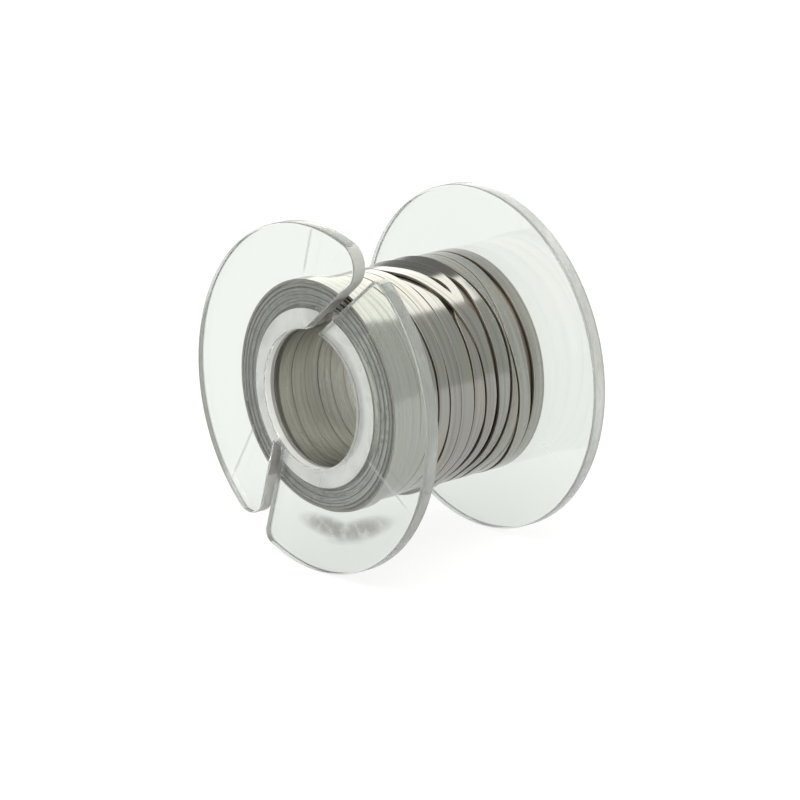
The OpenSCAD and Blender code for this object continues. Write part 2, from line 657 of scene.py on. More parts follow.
@dataclass(frozen=True)
class ClearPlastic(Finish):
    """Clear moulded plastic with a faint green-grey tint, handling haze, marks and painted shadows."""

    tint: Colour = (0.885, 0.925, 0.88, 1.0)
    ior: float = 1.49
    transmission: float = 0.97
    least_roughness: float = 0.01
    haze_roughness: float = 0.05
    haze_scale: float = 900.0
    haze_detail: float = 4.0
    ripple_scale: float = 90.0
    ripple_detail: float = 1.0
    ripple_height: float = 0.004 * MM
    # Grey of the painted shadow: the winding's shadow on the floor seen through the flange, drawn as rougher
    # grey patches.
    shadow_grey: Colour = (0.22, 0.235, 0.20, 1.0)
    shadow_roughness: float = 0.25
    shadow_scale: float = 900.0
    shadow_detail: float = 3.0
    shadow_span: Span = (0.0, 0.6)
    mark_grey: Colour = (0.38, 0.39, 0.37, 1.0)
    mark_share: float = 0.9
    mark_roughness: float = 0.12
    mark_haze: float = 0.35
    marks: tuple[Mark, ...] = ()
    painted_shadows: tuple[PaintedShadow, ...] = ()
    drawn_before: float = 0.0
    web_tint: Colour = (0.97, 0.985, 0.97, 1.0)
    web_r: float = 0.0

    def drawn(self, bench: NodeBench, coords: Socket, shapes: Sequence[Drawing]) -> Socket:
        """Draws all the shapes of one kind on the outer face.

        Args:
            bench: Node tree that they are drawn in.
            coords: Object coordinates.
            shapes: Marks or painted shadows.

        Returns:
            The greatest share of any shape.
        """
        x, y, z = bench.axes(coords)
        share = shapes[0].share(bench, x, z)
        for shape in shapes[1:]:
            share = bench.math("MAXIMUM", share, shape.share(bench, x, z))
        return bench.math("MULTIPLY", share, bench.math("LESS_THAN", y, self.drawn_before))

    def surface(self, bench: NodeBench) -> Socket:
        """Draws the haze, the ripple, the clear web over the tube's end, the painted shadows and the marks.

        Args:
            bench: Node tree of the material.

        Returns:
            The clear shader.
        """
        coords = bench.coords()
        haze = bench.noise(coords, self.haze_scale, self.haze_detail)
        roughness = bench.math("MULTIPLY_ADD", haze, self.haze_roughness, self.least_roughness)
        colour: object = self.tint
        clear: object = self.transmission
        if self.web_r:
            in_web = bench.math("LESS_THAN", bench.radius(coords), self.web_r)
            colour = bench.mix_colour(in_web, colour, self.web_tint)
        # Painted shadow: grey, rougher patches where the winding's shadow on the floor shows through the
        # flange.
        if self.painted_shadows:
            patchy = bench.step(bench.noise(coords, self.shadow_scale, self.shadow_detail), self.shadow_span)
            shadowed = bench.math("MULTIPLY", self.drawn(bench, coords, self.painted_shadows), patchy)
            colour = bench.mix_colour(shadowed, colour, self.shadow_grey)
            roughness = bench.math("MULTIPLY_ADD", shadowed, self.shadow_roughness, roughness)
        if self.marks:
            marked = self.drawn(bench, coords, self.marks)
            colour = bench.mix_colour(bench.math("MULTIPLY", marked, self.mark_share), colour, self.mark_grey)
            roughness = bench.math("MULTIPLY_ADD", marked, self.mark_roughness, roughness)
            clear = bench.math("MULTIPLY_ADD", marked, -self.mark_haze, self.transmission)
        ripple = bench.noise(coords, self.ripple_scale, self.ripple_detail)
        return bench.principled({
            "IOR": self.ior,
            "Base Color": colour,
            "Transmission Weight": clear,
            "Roughness": roughness,
            "Normal": bench.bump(ripple, self.ripple_height),
        })


@dataclass(frozen=True)
class SatinPlastic(Finish):
    """The same plastic where a rim or a tube's end has a satin face with fine turned lines."""

    tint: Colour
    shade: Colour
    shade_span: Span = (0.42, 0.58)
    ior: float = 1.49
    transmission: float = 0.0
    least_roughness: float = 0.12
    line_roughness: float = 0.06
    line_scale: tuple[float, float, float] = (900.0, 2600.0, 900.0)
    line_height: float = 0.0008 * MM
    # Colour of the rim's edges: painted shade where the rounded edges of the clear rim look dark.
    edge: Colour = (0.70, 0.73, 0.69, 1.0)
    edge_span: Span = (0.42 * MM, 0.54 * MM)
    rim_middle: float = 0.0

    def surface(self, bench: NodeBench) -> Socket:
        """Draws the turned lines. Where the rim's middle is given, both of its edges are darker, as painted
        shade of the rounded edges.

        Args:
            bench: Node tree of the material.

        Returns:
            The satin shader.
        """
        coords = bench.coords()
        lines = bench.noise(bench.mapped(coords, self.line_scale))
        colour = bench.mix_colour(bench.step(lines, self.shade_span), self.tint, self.shade)
        # Painted shade: both edges of the rim are darker than its middle.
        if self.rim_middle:
            from_middle = bench.off_centre(coords, self.rim_middle)
            colour = bench.mix_colour(bench.step(from_middle, self.edge_span), colour, self.edge)
        return bench.principled({
            "IOR": self.ior,
            "Base Color": colour,
            "Transmission Weight": self.transmission,
            "Roughness": bench.math("MULTIPLY_ADD", lines, self.line_roughness, self.least_roughness),
            "Normal": bench.bump(lines, self.line_height),
        })


@dataclass(frozen=True)
class WallPlastic(Finish):
    """The walls of the slots and of the bore, with painted shade where the winding lies behind them and a
    painted highlight round the bore.
    """

    # Dark colour near the axis: painted shade of the dark winding seen through the wall.
    near: Colour = (0.27, 0.26, 0.24, 1.0)
    far: Colour = (0.52, 0.53, 0.50, 1.0)
    far_span: Span = (11.1 * MM, 11.4 * MM)
    # Light colour at the bore's front edge: painted highlight.
    lip: Colour = (0.74, 0.75, 0.72, 1.0)
    lip_r: float = 7.0 * MM
    lip_depth: float = 0.75 * MM
    outer_face: float = 11.2 * MM
    ior: float = 1.49
    transmission: float = 0.3
    least_roughness: float = 0.25
    patch_roughness: float = 0.1
    patch_scale: float = 500.0

    def surface(self, bench: NodeBench) -> Socket:
        """Draws the walls dark out to the winding's outline as painted shade of the winding behind them,
        light beyond it, and lighter at the bore's lip as a painted highlight.

        Args:
            bench: Node tree of the material.

        Returns:
            The satin shader.
        """
        coords = bench.coords()
        radius = bench.radius(coords)
        in_bore = bench.math("LESS_THAN", radius, self.lip_r)
        near_face = bench.math("LESS_THAN", bench.off_centre(coords, self.outer_face), self.lip_depth)
        # Painted shade: dark out to the winding's outline, where the winding shows through the wall, lighter
        # beyond.
        colour = bench.mix_colour(bench.step(radius, self.far_span), self.near, self.far)
        patches = bench.noise(coords, self.patch_scale)
        return bench.principled({
            "IOR": self.ior,
            # Painted highlight: lighter round the bore near the outer face.
            "Base Color": bench.mix_colour(bench.math("MULTIPLY", in_bore, near_face), colour, self.lip),
            "Transmission Weight": self.transmission,
            "Roughness": bench.math("MULTIPLY_ADD", patches, self.patch_roughness, self.least_roughness),
        })


@dataclass(frozen=True)
class RibbonMetal(Finish):
    """Bright rolled ribbon with lengthwise streaks, slight stains and dark edges, partly oxide on the rolled
    edges and partly painted shade of the gaps between the laps.
    """

    bright: Colour = (0.40, 0.40, 0.375, 1.0)
    dull: Colour = (0.32, 0.315, 0.295, 1.0)
    dull_span: Span = (0.42, 0.68)
    stain: Colour = (0.42, 0.385, 0.31, 1.0)
    stain_span: Span = (0.5, 0.75)
    stain_share: float = 0.6
    # Dark edge colour: partly oxide on the rolled edges, partly painted shade of the gaps between the laps.
    edge: Colour = (0.26, 0.235, 0.20, 1.0)
    edge_span: Span = (0.69 * MM, 0.705 * MM)
    edge_roughness: float = 0.3
    least_roughness: float = 0.10
    streak_roughness: float = 0.12
    streak_height: float = 0.0012 * MM
    fine_scale: tuple[float, float, float] = (60.0, 9000.0, 1.0)
    broad_scale: tuple[float, float, float] = (45.0, 2600.0, 1.0)
    stain_scale: tuple[float, float, float] = (110.0, 500.0, 1.0)

    def surface(self, bench: NodeBench) -> Socket:
        """Draws the streaks on the ribbon's own UV map, with its length along U and its width along V.

        Args:
            bench: Node tree of the material.

        Returns:
            The metal's shader.
        """
        uv = bench.coords("UV")
        scales = (self.fine_scale, self.broad_scale, self.stain_scale)
        fine, broad, stains = (bench.noise(bench.mapped(uv, scale)) for scale in scales)
        streaks = bench.math("MULTIPLY_ADD", fine, 0.5, bench.math("MULTIPLY", broad, 0.5))
        body = bench.mix_colour(bench.step(broad, self.dull_span), self.bright, self.dull)
        stained = bench.math("MULTIPLY", bench.step(stains, self.stain_span), self.stain_share)
        # Dark edges: partly oxide, partly painted shade of the gaps between the laps.
        at_edge = bench.step(bench.math("ABSOLUTE", bench.axes(uv)["Y"]), self.edge_span)
        roughness = bench.math("MULTIPLY_ADD", streaks, self.streak_roughness, self.least_roughness)
        return bench.principled({
            "Metallic": 1.0,
            "Base Color": bench.mix_colour(at_edge, bench.mix_colour(stained, body, self.stain), self.edge),
            "Roughness": bench.math("MULTIPLY_ADD", at_edge, self.edge_roughness, roughness),
            "Normal": bench.bump(streaks, self.streak_height),
        })


@dataclass(frozen=True)
class LayerEnds(Finish):
    """The ends of the inner layers: dull grey with fine rings, with painted light that makes them lighter on
    the right.
    """

    # Colour of the painted light on the right of the ends.
    light: Colour = (0.46, 0.47, 0.44, 1.0)
    grey: Colour = (0.27, 0.28, 0.26, 1.0)
    light_span: Span = (-2.0 * MM, 9.0 * MM)
    dark: Colour = (0.15, 0.147, 0.134, 1.0)
    layer_t: float = 0.25 * MM
    ring_span: Span = (0.1, 0.3)
    grain_scale: float = 1500.0
    grain_detail: float = 3.0
    grain_span: Span = (0.2, 0.6)
    roughness: float = 0.45

    def surface(self, bench: NodeBench) -> Socket:
        """Draws fine rings on the ends, one for each layer.

        Args:
            bench: Node tree of the material.

        Returns:
            The dull metal's shader.
        """
        coords = bench.coords()
        rings = bench.math("FRACT", bench.math("DIVIDE", bench.radius(coords), self.layer_t))
        grain = bench.step(bench.noise(coords, self.grain_scale, self.grain_detail), self.grain_span)
        share = bench.math("MULTIPLY", bench.step(rings, self.ring_span), grain)
        # Painted light: the ends are lighter towards the right.
        to_right = bench.step(bench.axes(coords)["X"], self.light_span)
        lit = bench.mix_colour(to_right, self.grey, self.light)
        return bench.principled({
            "Metallic": 1.0,
            "Base Color": bench.mix_colour(share, self.dark, lit),
            "Roughness": self.roughness,
        })


@dataclass(frozen=True)
class ShadedLayer(Finish):
    """The layer under the top one, where it shows between the turns: darker and browner than the top ribbon,
    as painted shade of those gaps.
    """

    # Dark metal colours: painted shade of the gaps between the turns.
    light: Colour = (0.38, 0.35, 0.31, 1.0)
    dark: Colour = (0.25, 0.23, 0.20, 1.0)
    streak_scale: tuple[float, float, float] = (150.0, 4000.0, 150.0)
    streak_span: Span = (0.3, 0.7)
    roughness: float = 0.35

    def surface(self, bench: NodeBench) -> Socket:
        """Draws streaks that run round the winding.

        Args:
            bench: Node tree of the material.

        Returns:
            The dull metal's shader.
        """
        streaks = bench.step(bench.noise(bench.mapped(bench.coords(), self.streak_scale)), self.streak_span)
        return bench.principled({
            "Metallic": 1.0,
            "Base Color": bench.mix_colour(streaks, self.dark, self.light),
            "Roughness": self.roughness,
        })


def dress(piece: Piece, slot: Slot, materials: Sequence[bpy.types.Material], *nodes: Node) -> None:
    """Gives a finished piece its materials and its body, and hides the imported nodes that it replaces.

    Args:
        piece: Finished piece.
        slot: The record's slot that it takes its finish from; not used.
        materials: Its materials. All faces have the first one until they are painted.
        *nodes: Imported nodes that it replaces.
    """
    piece.data.materials.clear()
    for material in materials:
        piece.data.materials.append(material)
    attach(piece, BODY)
    if nodes:
        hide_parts(*(node.value for node in nodes))
    LOG.info("%s: %d faces", piece.name, len(piece.data.polygons))


# ---------------------------------------------------------------------------------------------------------
# The clear spool
# ---------------------------------------------------------------------------------------------------------


@dataclass
class SlotCut:
    """A straight slot with round mouths, cut through the front flange.

    Attributes:
        from_r: Distance from the axis of the slot's starting point.
        at_deg: Place of that point round the bore.
        heading_deg: Direction in which the slot runs out to the rim.
        width: Width of the slot.
        rounds: Radii of the mouth's corners on the slot's left and right.
        reach_back: How far the slot is carried back past its starting point.
    """

    from_r: float
    at_deg: float
    heading_deg: float
    width: float
    rounds: tuple[float, float]
    reach_back: float = 0.0
    mouth_cross: float = 0.02 * MM
    mouth_lap: float = 0.3 * MM
    arc_sides: int = 128

    def axes(self) -> tuple[np.ndarray, np.ndarray, np.ndarray]:
        """Lays out the slot in the plane of the flange.

        Returns:
            Its starting point, its direction and the direction to its left.
        """
        at, heading = math.radians(self.at_deg), math.radians(self.heading_deg)
        start = self.from_r * np.array([math.cos(at), math.sin(at)])
        ahead = np.array([math.cos(heading), math.sin(heading)])
        return start, ahead, np.array([-ahead[1], ahead[0]])

    def channel(self, reach: float, front: float, back: float) -> Piece:
        """Makes the cutter of the straight channel.

        Args:
            reach: How far it runs from its starting point.
            front: Place of its front end along Y.
            back: Place of its back end along Y.

        Returns:
            The cutter.
        """
        start, ahead, left = self.axes()
        near, far, half = start - ahead * self.reach_back, start + ahead * reach, left * self.width / 2
        return prism("channel_cutter", [near - half, far - half, far + half, near + half], front, back)

    def mouth(self, side: float, radius: float, rim_r: float, front: float, back: float) -> Piece:
        """Makes the cutter of one round corner between the slot's wall and the rim.

        Args:
            side: 1 for the corner on the slot's left, -1 for the one on its right.
            radius: Radius of the corner.
            rim_r: Radius of the flange.
            front: Place of its front end along Y.
            back: Place of its back end along Y.

        Returns:
            The cutter.
        """
        start, ahead, left = self.axes()
        into = left * side
        off = float((start + into * self.width / 2) @ into) + radius - self.mouth_cross
        centre = into * off + ahead * math.sqrt((rim_r - radius + self.mouth_cross) ** 2 - off**2)
        outward = centre / np.linalg.norm(centre)
        in_slot = centre - into * (radius + self.mouth_lap)
        corners = [centre, in_slot, in_slot + ahead * 2 * radius, centre + outward * 2 * radius]
        wedge = prism("mouth_cutter", corners, front, back)
        pin = rod("mouth_pin", radius, front - MM, back + MM, self.arc_sides)
        make_active(pin)
        bpy.ops.transform.translate(value=(centre[0], 0, centre[1]))
        settle(pin)
        cut_away(wedge, pin)
        return wedge


@dataclass
class ClearSpool:
    """The clear body of the spool: two flanges and the barrel between them.

    The barrel stands in a shallow socket in each flange, with a hair of air round it.
    """

    sizes: SpoolSizes
    edge_round: float = 0.2 * MM
    socket_clear: float = 0.03 * MM
    seat_gap: float = 0.02 * MM
    open_slot_w: float = 1.25 * MM
    closed_slot_w: float = 1.15 * MM
    closed_slot_web: float = 0.7 * MM
    notch_depth: float = 2.0 * MM
    cut_over: float = MM
    round_sides: int = 256
    round_steps: int = 4
    outline_deg: float = 60.0
    outline_near: float = 0.01 * MM
    flat_share: float = 0.97
    wall_share: float = 0.3
    rim_share: float = 0.98
    front_finish: ClearPlastic = ClearPlastic(
        "clear_front_flange",
        drawn_before=-10.5 * MM,
        web_r=8.7 * MM,
        marks=(
            Mark((0.5 * MM, 17.2 * MM), (-1.0 * MM, 11.5 * MM), 0.30 * MM),
            Mark((-8.2 * MM, -4.4 * MM), (-12.2 * MM, -11.4 * MM), 0.26 * MM),
            Mark((8.4 * MM, -3.9 * MM), (15.2 * MM, -7.9 * MM), 0.24 * MM),
            Mark((9.8 * MM, 10.3 * MM), (7.5 * MM, 6.3 * MM), 0.1 * MM),
            Mark((2.0 * MM, -6.8 * MM), (0.5 * MM, -10.2 * MM), 0.08 * MM),
        ),
        # Painted shadow of the winding on the floor, seen through the lower part of the front flange.
        painted_shadows=(
            PaintedShadow((3.2 * MM, -12.0 * MM), 2, 5.6 * MM, 1.35 * MM, 1.0),
            PaintedShadow((7.4 * MM, -11.1 * MM), 24, 6.2 * MM, 1.3 * MM, 0.95),
        ),
    )
    back_finish: ClearPlastic = ClearPlastic(
        "clear_back_flange",
        mark_grey=(1.0, 1.0, 1.0, 1.0),
        mark_haze=0.6,
        drawn_before=10.5 * MM,
        marks=(Mark((9.4 * MM, -6.1 * MM), (12.2 * MM, -7.4 * MM), 0.14 * MM),),
    )
    barrel_finish: ClearPlastic = ClearPlastic("clear_barrel", (0.96, 0.97, 0.95, 1.0), haze_roughness=0.08)
    front_rim_finish: SatinPlastic = SatinPlastic(
        "satin_front_rim",
        tint=(0.87, 0.90, 0.86, 1.0),
        shade=(0.78, 0.81, 0.77, 1.0),
        transmission=0.80,
        rim_middle=10.45 * MM,
    )
    back_rim_finish: SatinPlastic = SatinPlastic(
        "satin_back_rim",
        tint=(1.0, 1.0, 0.99, 1.0),
        shade=(0.87, 0.91, 0.87, 1.0),
        # Darker rim edges: painted shade of the rounded edges.
        edge=(0.66, 0.70, 0.67, 1.0),
        transmission=0.70,
        rim_middle=10.45 * MM,
    )
    wall_finish: WallPlastic = WallPlastic("satin_wall")
    tube_end_finish: SatinPlastic = SatinPlastic(
        "satin_tube_end",
        tint=(1.0, 1.0, 0.98, 1.0),
        shade=(0.72, 0.73, 0.70, 1.0),
        shade_span=(0.48, 0.68),
        ior=3.0,
        least_roughness=0.22,
        line_roughness=0.12,
        line_scale=(190.0, 190.0, 190.0),
        line_height=0.0012 * MM,
    )

    @property
    def socket_r(self) -> float:
        """Radius of the socket in each flange."""
        return self.sizes.barrel_r + self.socket_clear

    def open_slot(self) -> SlotCut:
        """Gives the slot that is open into the bore."""
        rounds = (2.3 * MM, 1.3 * MM)
        return SlotCut(self.sizes.bore_r, 88, 41, self.open_slot_w, rounds, reach_back=2 * MM)

    def closed_slot(self) -> SlotCut:
        """Gives the slot that stops short of the bore."""
        rounds = (1.3 * MM, 2.2 * MM)
        return SlotCut(self.sizes.bore_r + self.closed_slot_web, 229.6, 254, self.closed_slot_w, rounds)

    def cut_rod(self, flange: Piece, radius: float, start: float, end: float) -> None:
        """Cuts a round hole or socket into a flange."""
        cut_away(flange, rod("rod_cutter", radius, start, end, self.round_sides))

    def front_flange(self) -> Piece:
        """Models the slotted flange.

        Returns:
            The flange.
        """
        sizes = self.sizes
        front, inner = sizes.front_face, sizes.front_inner
        flange = rod("front_flange_clear", sizes.flange_r, front, inner, self.round_sides)
        before, behind = front - self.cut_over, inner + self.cut_over
        slots = (self.open_slot(), self.closed_slot())
        for slot in slots:
            for side, radius in zip((1, -1), slot.rounds):
                cut_away(flange, slot.mouth(side, radius, sizes.flange_r, before, behind))
        self.cut_rod(flange, sizes.bore_r, before, behind)
        for slot in slots:
            cut_away(flange, slot.channel(2 * sizes.flange_r, before, behind))
        self.round_edges(flange)
        self.cut_rod(flange, self.socket_r, sizes.barrel_front, behind)
        finish_shading(flange)
        return flange

    def on_outline(self, edge: bmesh.types.BMEdge) -> bool:
        """Says whether an edge of the front flange is on its outline, and not on the bore in the socket.

        Args:
            edge: Edge of the flange with its slots and bore cut.

        Returns:
            Whether the edge gets a round.
        """
        if len(edge.link_faces) != 2 or edge.calc_face_angle(0) < math.radians(self.outline_deg):
            return False
        places = [v.co for v in edge.verts]
        on_front = all(abs(p.y - self.sizes.front_face) < self.outline_near for p in places)
        on_inner = all(abs(p.y - self.sizes.front_inner) < self.outline_near for p in places)
        return on_front or (on_inner and min(math.hypot(p.x, p.z) for p in places) > self.socket_r)

    def round_edges(self, flange: Piece) -> None:
        """Rounds the outline of the front flange on both of its faces.

        Args:
            flange: Flange with its slots and bore cut.
        """
        picked = select_where(flange, "EDGE", self.on_outline)
        LOG.info("%s: %d outline edges rounded", flange.name, picked)
        bpy.ops.mesh.bevel(offset=self.edge_round, segments=self.round_steps, profile=0.5, affect="EDGES")
        leave_edit()

    def back_flange(self) -> Piece:
        """Models the plain flange.

        Returns:
            The flange.
        """
        sizes = self.sizes
        inner, outer = sizes.back_inner, sizes.back_face
        flange = section_plane("back_flange_clear", sizes.bore_r, sizes.flange_r, inner, outer)
        middle, seat_r = (inner + outer) / 2, sizes.barrel_r
        round_corners(flange, self.edge_round, self.round_steps, lambda p: p.z > seat_r or p.y > middle)
        turn_on_axis(flange, self.round_sides)
        self.cut_rod(flange, self.socket_r, inner - self.cut_over, sizes.barrel_back)
        finish_shading(flange)
        return flange

    def barrel(self) -> Piece:
        """Models the tube between the flanges, with the open slot's notch in its front end.

        Returns:
            The barrel.
        """
        sizes = self.sizes
        start, end = sizes.barrel_front + self.seat_gap, sizes.barrel_back - self.seat_gap
        barrel = section_plane("barrel_clear", sizes.bore_r, sizes.barrel_r, start, end)
        turn_on_axis(barrel, self.round_sides)
        notch_back = sizes.front_inner + self.notch_depth
        cut_away(barrel, self.open_slot().channel(2 * sizes.flange_r, sizes.front_face, notch_back))
        finish_shading(barrel)
        return barrel

    def off_flat(self, face: bmesh.types.BMFace) -> bool:
        """Says whether a face is off the flats of its piece."""
        return abs(face.normal.y) < self.flat_share

    def on_wall(self, face: bmesh.types.BMFace) -> bool:
        """Says whether a face is on the wall of a slot or of the bore.

        Args:
            face: Face of a flange.

        Returns:
            Whether it stands upright and doesn't look out from the axis, as the rim does.
        """
        middle = face.calc_center_median()
        outward = Vector((middle.x, 0, middle.z)).normalized()
        return abs(face.normal.y) < self.wall_share and face.normal.dot(outward) < self.rim_share

    def build(self) -> None:
        """Models and dresses the three clear pieces. Their flats are clear, their rims and walls satin."""
        wall = self.wall_finish.material()
        front, back, barrel = self.front_flange(), self.back_flange(), self.barrel()
        front_materials = [self.front_finish.material(), self.front_rim_finish.material(), wall]
        back_materials = [self.back_finish.material(), self.back_rim_finish.material(), wall]
        dress(front, Slot.CLEAR_FLANGE, front_materials, Node.FRONT_FLANGE)
        dress(back, Slot.CLEAR_FLANGE, back_materials, Node.BACK_FLANGE)
        barrel_materials = [self.barrel_finish.material(), self.tube_end_finish.material()]
        dress(barrel, Slot.CLEAR_BARREL, barrel_materials, Node.BARREL)
        for flange in (front, back):
            paint_faces(flange, 1, self.off_flat)
            paint_faces(flange, 2, self.on_wall)
        paint_faces(barrel, 1, lambda face: not self.off_flat(face))


# ---------------------------------------------------------------------------------------------------------
# The winding
# ---------------------------------------------------------------------------------------------------------


@dataclass(frozen=True)
class Lie:
    """How the ribbon lies at one place round the winding. All but the angle is in millimetres.

    Attributes:
        at_deg: Place round the winding, from the top towards the right.
        edge: Place of the ribbon's front edge, from the front flange's outer face.
        width: Width that it shows.
        lift: How far it stands off its layer.
        tilt: How much higher its front edge is than its back edge.
    """

    at_deg: float
    edge: float
    width: float = 1.45
    lift: float = 0.0
    tilt: float = 0.0


Lap = Sequence[Lie]


def lap(*rows: tuple[float, ...]) -> Lap:
    """Makes a lap from rows that give each lie's place, edge, width, lift and tilt."""
    return [Lie(*row) for row in rows]


class Lay:
    """The way that a stretch of ribbon lies, eased from one chosen place to the next."""

    def __init__(self, laps: Sequence[Lap], ease_deg: int = 7) -> None:
        """Joins the laps and eases them.

        Args:
            laps: The lies of each lap in order. A lap starts a full turn after the one before it.
            ease_deg: Half of the stretch over which each change is eased.
        """
        placed = [(360 * number + lie.at_deg, lie) for number, lies in enumerate(laps) for lie in lies]
        knots = np.array([[phi, lie.edge, lie.width, lie.lift, lie.tilt] for phi, lie in placed])
        self.start_deg, self.end_deg = knots[0, 0], knots[-1, 0]
        self.phi = np.arange(self.start_deg - ease_deg, self.end_deg + ease_deg + 1)
        window = np.hanning(2 * ease_deg + 1)
        self.columns = []
        for column in knots.T[1:]:
            straight = np.interp(self.phi, knots[:, 0], column)
            padded = np.pad(straight, ease_deg, mode="edge")
            self.columns.append(np.convolve(padded, window / window.sum(), mode="valid"))

    @property
    def turns(self) -> float:
        """Number of turns in the stretch."""
        return (self.end_deg - self.start_deg) / 360

    def at(self, phi: np.ndarray) -> list[np.ndarray]:
        """Gives edge, width, lift and tilt at total angles, in metres."""
        return [np.interp(phi, self.phi, column) * MM for column in self.columns]


@dataclass
class Winding:
    """The ribbon: its inner layers, its first layer seen through the barrel, and its top layer."""

    sizes: SpoolSizes
    ribbon_t: float = 0.25 * MM
    ribbon_w: float = 1.5 * MM
    loose_pitch: float = 1.9 * MM
    edge_round: float = 0.05 * MM
    pressed_round: float = 0.015 * MM
    edge_steps: int = 2
    steps_per_turn: int = 150
    shade_deg: float = 20.0
    layer_gap: float = 0.03 * MM
    layer_fronts: Sequence[float] = (1.62 * MM, 1.72 * MM, 1.60 * MM, 1.74 * MM, 1.64 * MM)
    ring_sides: int = 160
    side_share: float = 0.5
    finish: RibbonMetal = RibbonMetal("bright_ribbon")
    # The first layer, seen through the barrel, takes a lighter copy of the ribbon metal: painted light in the
    # bore.
    first_finish: RibbonMetal = RibbonMetal(
        "first_layer_ribbon",
        bright=(0.80, 0.78, 0.72, 1.0),
        dull=(0.62, 0.60, 0.56, 1.0),
        stain=(0.70, 0.635, 0.55, 1.0),
        edge=(0.42, 0.40, 0.35, 1.0),
        edge_span=(0.73 * MM, 0.745 * MM),
        least_roughness=0.22,
    )
    ends_finish: LayerEnds = LayerEnds("layer_ends")
    under_finish: ShadedLayer = ShadedLayer("shaded_under_layer")

    def top_laps(self) -> list[Lap]:
        """Says how each turn of the top layer lies, from the front flange to the back one."""
        return self.piled_laps() + self.even_laps() + self.crossing_laps() + self.last_laps()

    def piled_laps(self) -> list[Lap]:
        """The first turns, which pile up against the front flange and then step off the pile."""
        return [
            lap((255, 1.60), (300, 1.60, 1.45, 0.03)),
            lap(
                (0, 1.62, 1.45, 0.08), (140, 1.62, 1.45, 0.05), (165, 1.60, 1.45, -0.04),
                (200, 1.60, 1.45, -0.04), (250, 1.58, 1.45, 0.27), (270, 1.58, 1.45, 0.34),
                (337, 1.56, 1.45, 0.52),
            ),
            lap(
                (0, 1.56, 1.45, 0.58), (142, 1.65, 1.45, 0.58), (162, 1.95, 1.45, 0.27),
                (200, 2.40, 1.45, 0.22), (270, 2.90, 1.30, 0.25),
            ),
            lap(
                (0, 3.16, 0.96, 0.28), (90, 3.20, 0.98, 0.28), (140, 3.26, 0.98, 0.20),
                (200, 3.50, 1.10, 0.05), (270, 4.00, 1.10, 0.10),
            ),
            lap((0, 4.18, 0.98, 0.10), (90, 4.26, 0.98, 0.08), (140, 4.32, 0.98, 0.03), (200, 4.70, 1.10)),
        ]

    def even_laps(self) -> list[Lap]:
        """The next turns, which lie side by side."""
        return [
            lap(
                (-20, 5.10, 1.08), (0, 5.20, 1.15), (40, 5.25, 1.35), (70, 5.32, 1.43), (98, 5.30, 1.34),
                (140, 5.00, 1.05),
            ),
            lap(
                (-20, 6.22, 1.34), (0, 6.40, 1.36), (40, 6.78, 1.36), (70, 6.98, 1.22), (98, 6.75, 1.33),
                (118, 6.40, 1.38), (140, 6.05, 1.35),
            ),
            lap(
                (-20, 7.60, 1.25), (0, 7.80, 1.30), (45, 8.16, 1.43), (62, 8.19, 1.42), (80, 8.28, 1.33),
                (100, 8.17, 1.41), (118, 8.05, 1.34), (140, 7.45, 1.40), (185, 7.75, 1.40, -0.27),
            ),
            lap(
                (-20, 8.60, 1.45, -0.27), (0, 9.00, 1.45, -0.25), (14, 9.25, 1.45, -0.10), (26, 9.45, 1.50),
                (42, 9.62, 1.52), (60, 9.62, 1.60), (80, 9.61, 1.58), (100, 9.58, 1.56), (118, 9.44, 1.46),
                (140, 8.90, 1.08),
            ),
        ]

    def crossing_laps(self) -> list[Lap]:
        """The turn that dips under the next one at the top, and the turn that crosses over it."""
        return [
            lap(
                (-45, 10.20, 1.90, 0.22, -0.50), (-20, 10.40, 1.95, 0.22, -0.50),
                (-8, 10.55, 2.10, 0.22, -0.50), (0, 10.95, 2.10, 0.20, -0.48),
                (8, 11.85, 1.75, 0.12, -0.40), (14, 12.40, 1.50, 0.05, -0.28), (19, 12.75, 1.25),
                (29, 13.00, 0.95), (35, 12.55, 1.20), (40, 11.90, 1.60), (46, 11.42, 1.30),
                (52, 11.36, 1.00), (60, 11.41, 0.97), (72, 11.37, 1.13), (80, 11.30, 1.24),
                (100, 11.18, 1.40), (118, 10.93, 1.14), (126, 10.62, 1.05), (140, 10.05, 1.00),
                (155, 9.95, 1.40, 0.27), (240, 9.50, 1.45, 0.27), (290, 9.10, 1.45),
            ),
            lap(
                (-15, 8.98, 1.40, 0.02), (-5, 9.05, 1.45, 0.02), (0, 9.15, 1.65, 0.05),
                (5, 9.42, 1.75, 0.10), (10, 9.85, 1.60, 0.17), (15, 10.15, 1.60, 0.23),
                (20, 10.46, 1.44, 0.27), (25, 10.78, 1.33, 0.27), (30, 11.12, 1.25, 0.27),
                (35, 11.44, 1.28, 0.27), (42, 11.75, 1.80, 0.27), (50, 12.05, 1.80, 0.27),
                (60, 12.38, 1.38, 0.22), (72, 12.62, 1.24, 0.08), (90, 12.75, 1.27), (108, 12.72, 1.06),
                (118, 12.50, 1.00), (126, 12.10, 1.05), (140, 11.20, 1.20),
            ),
        ]

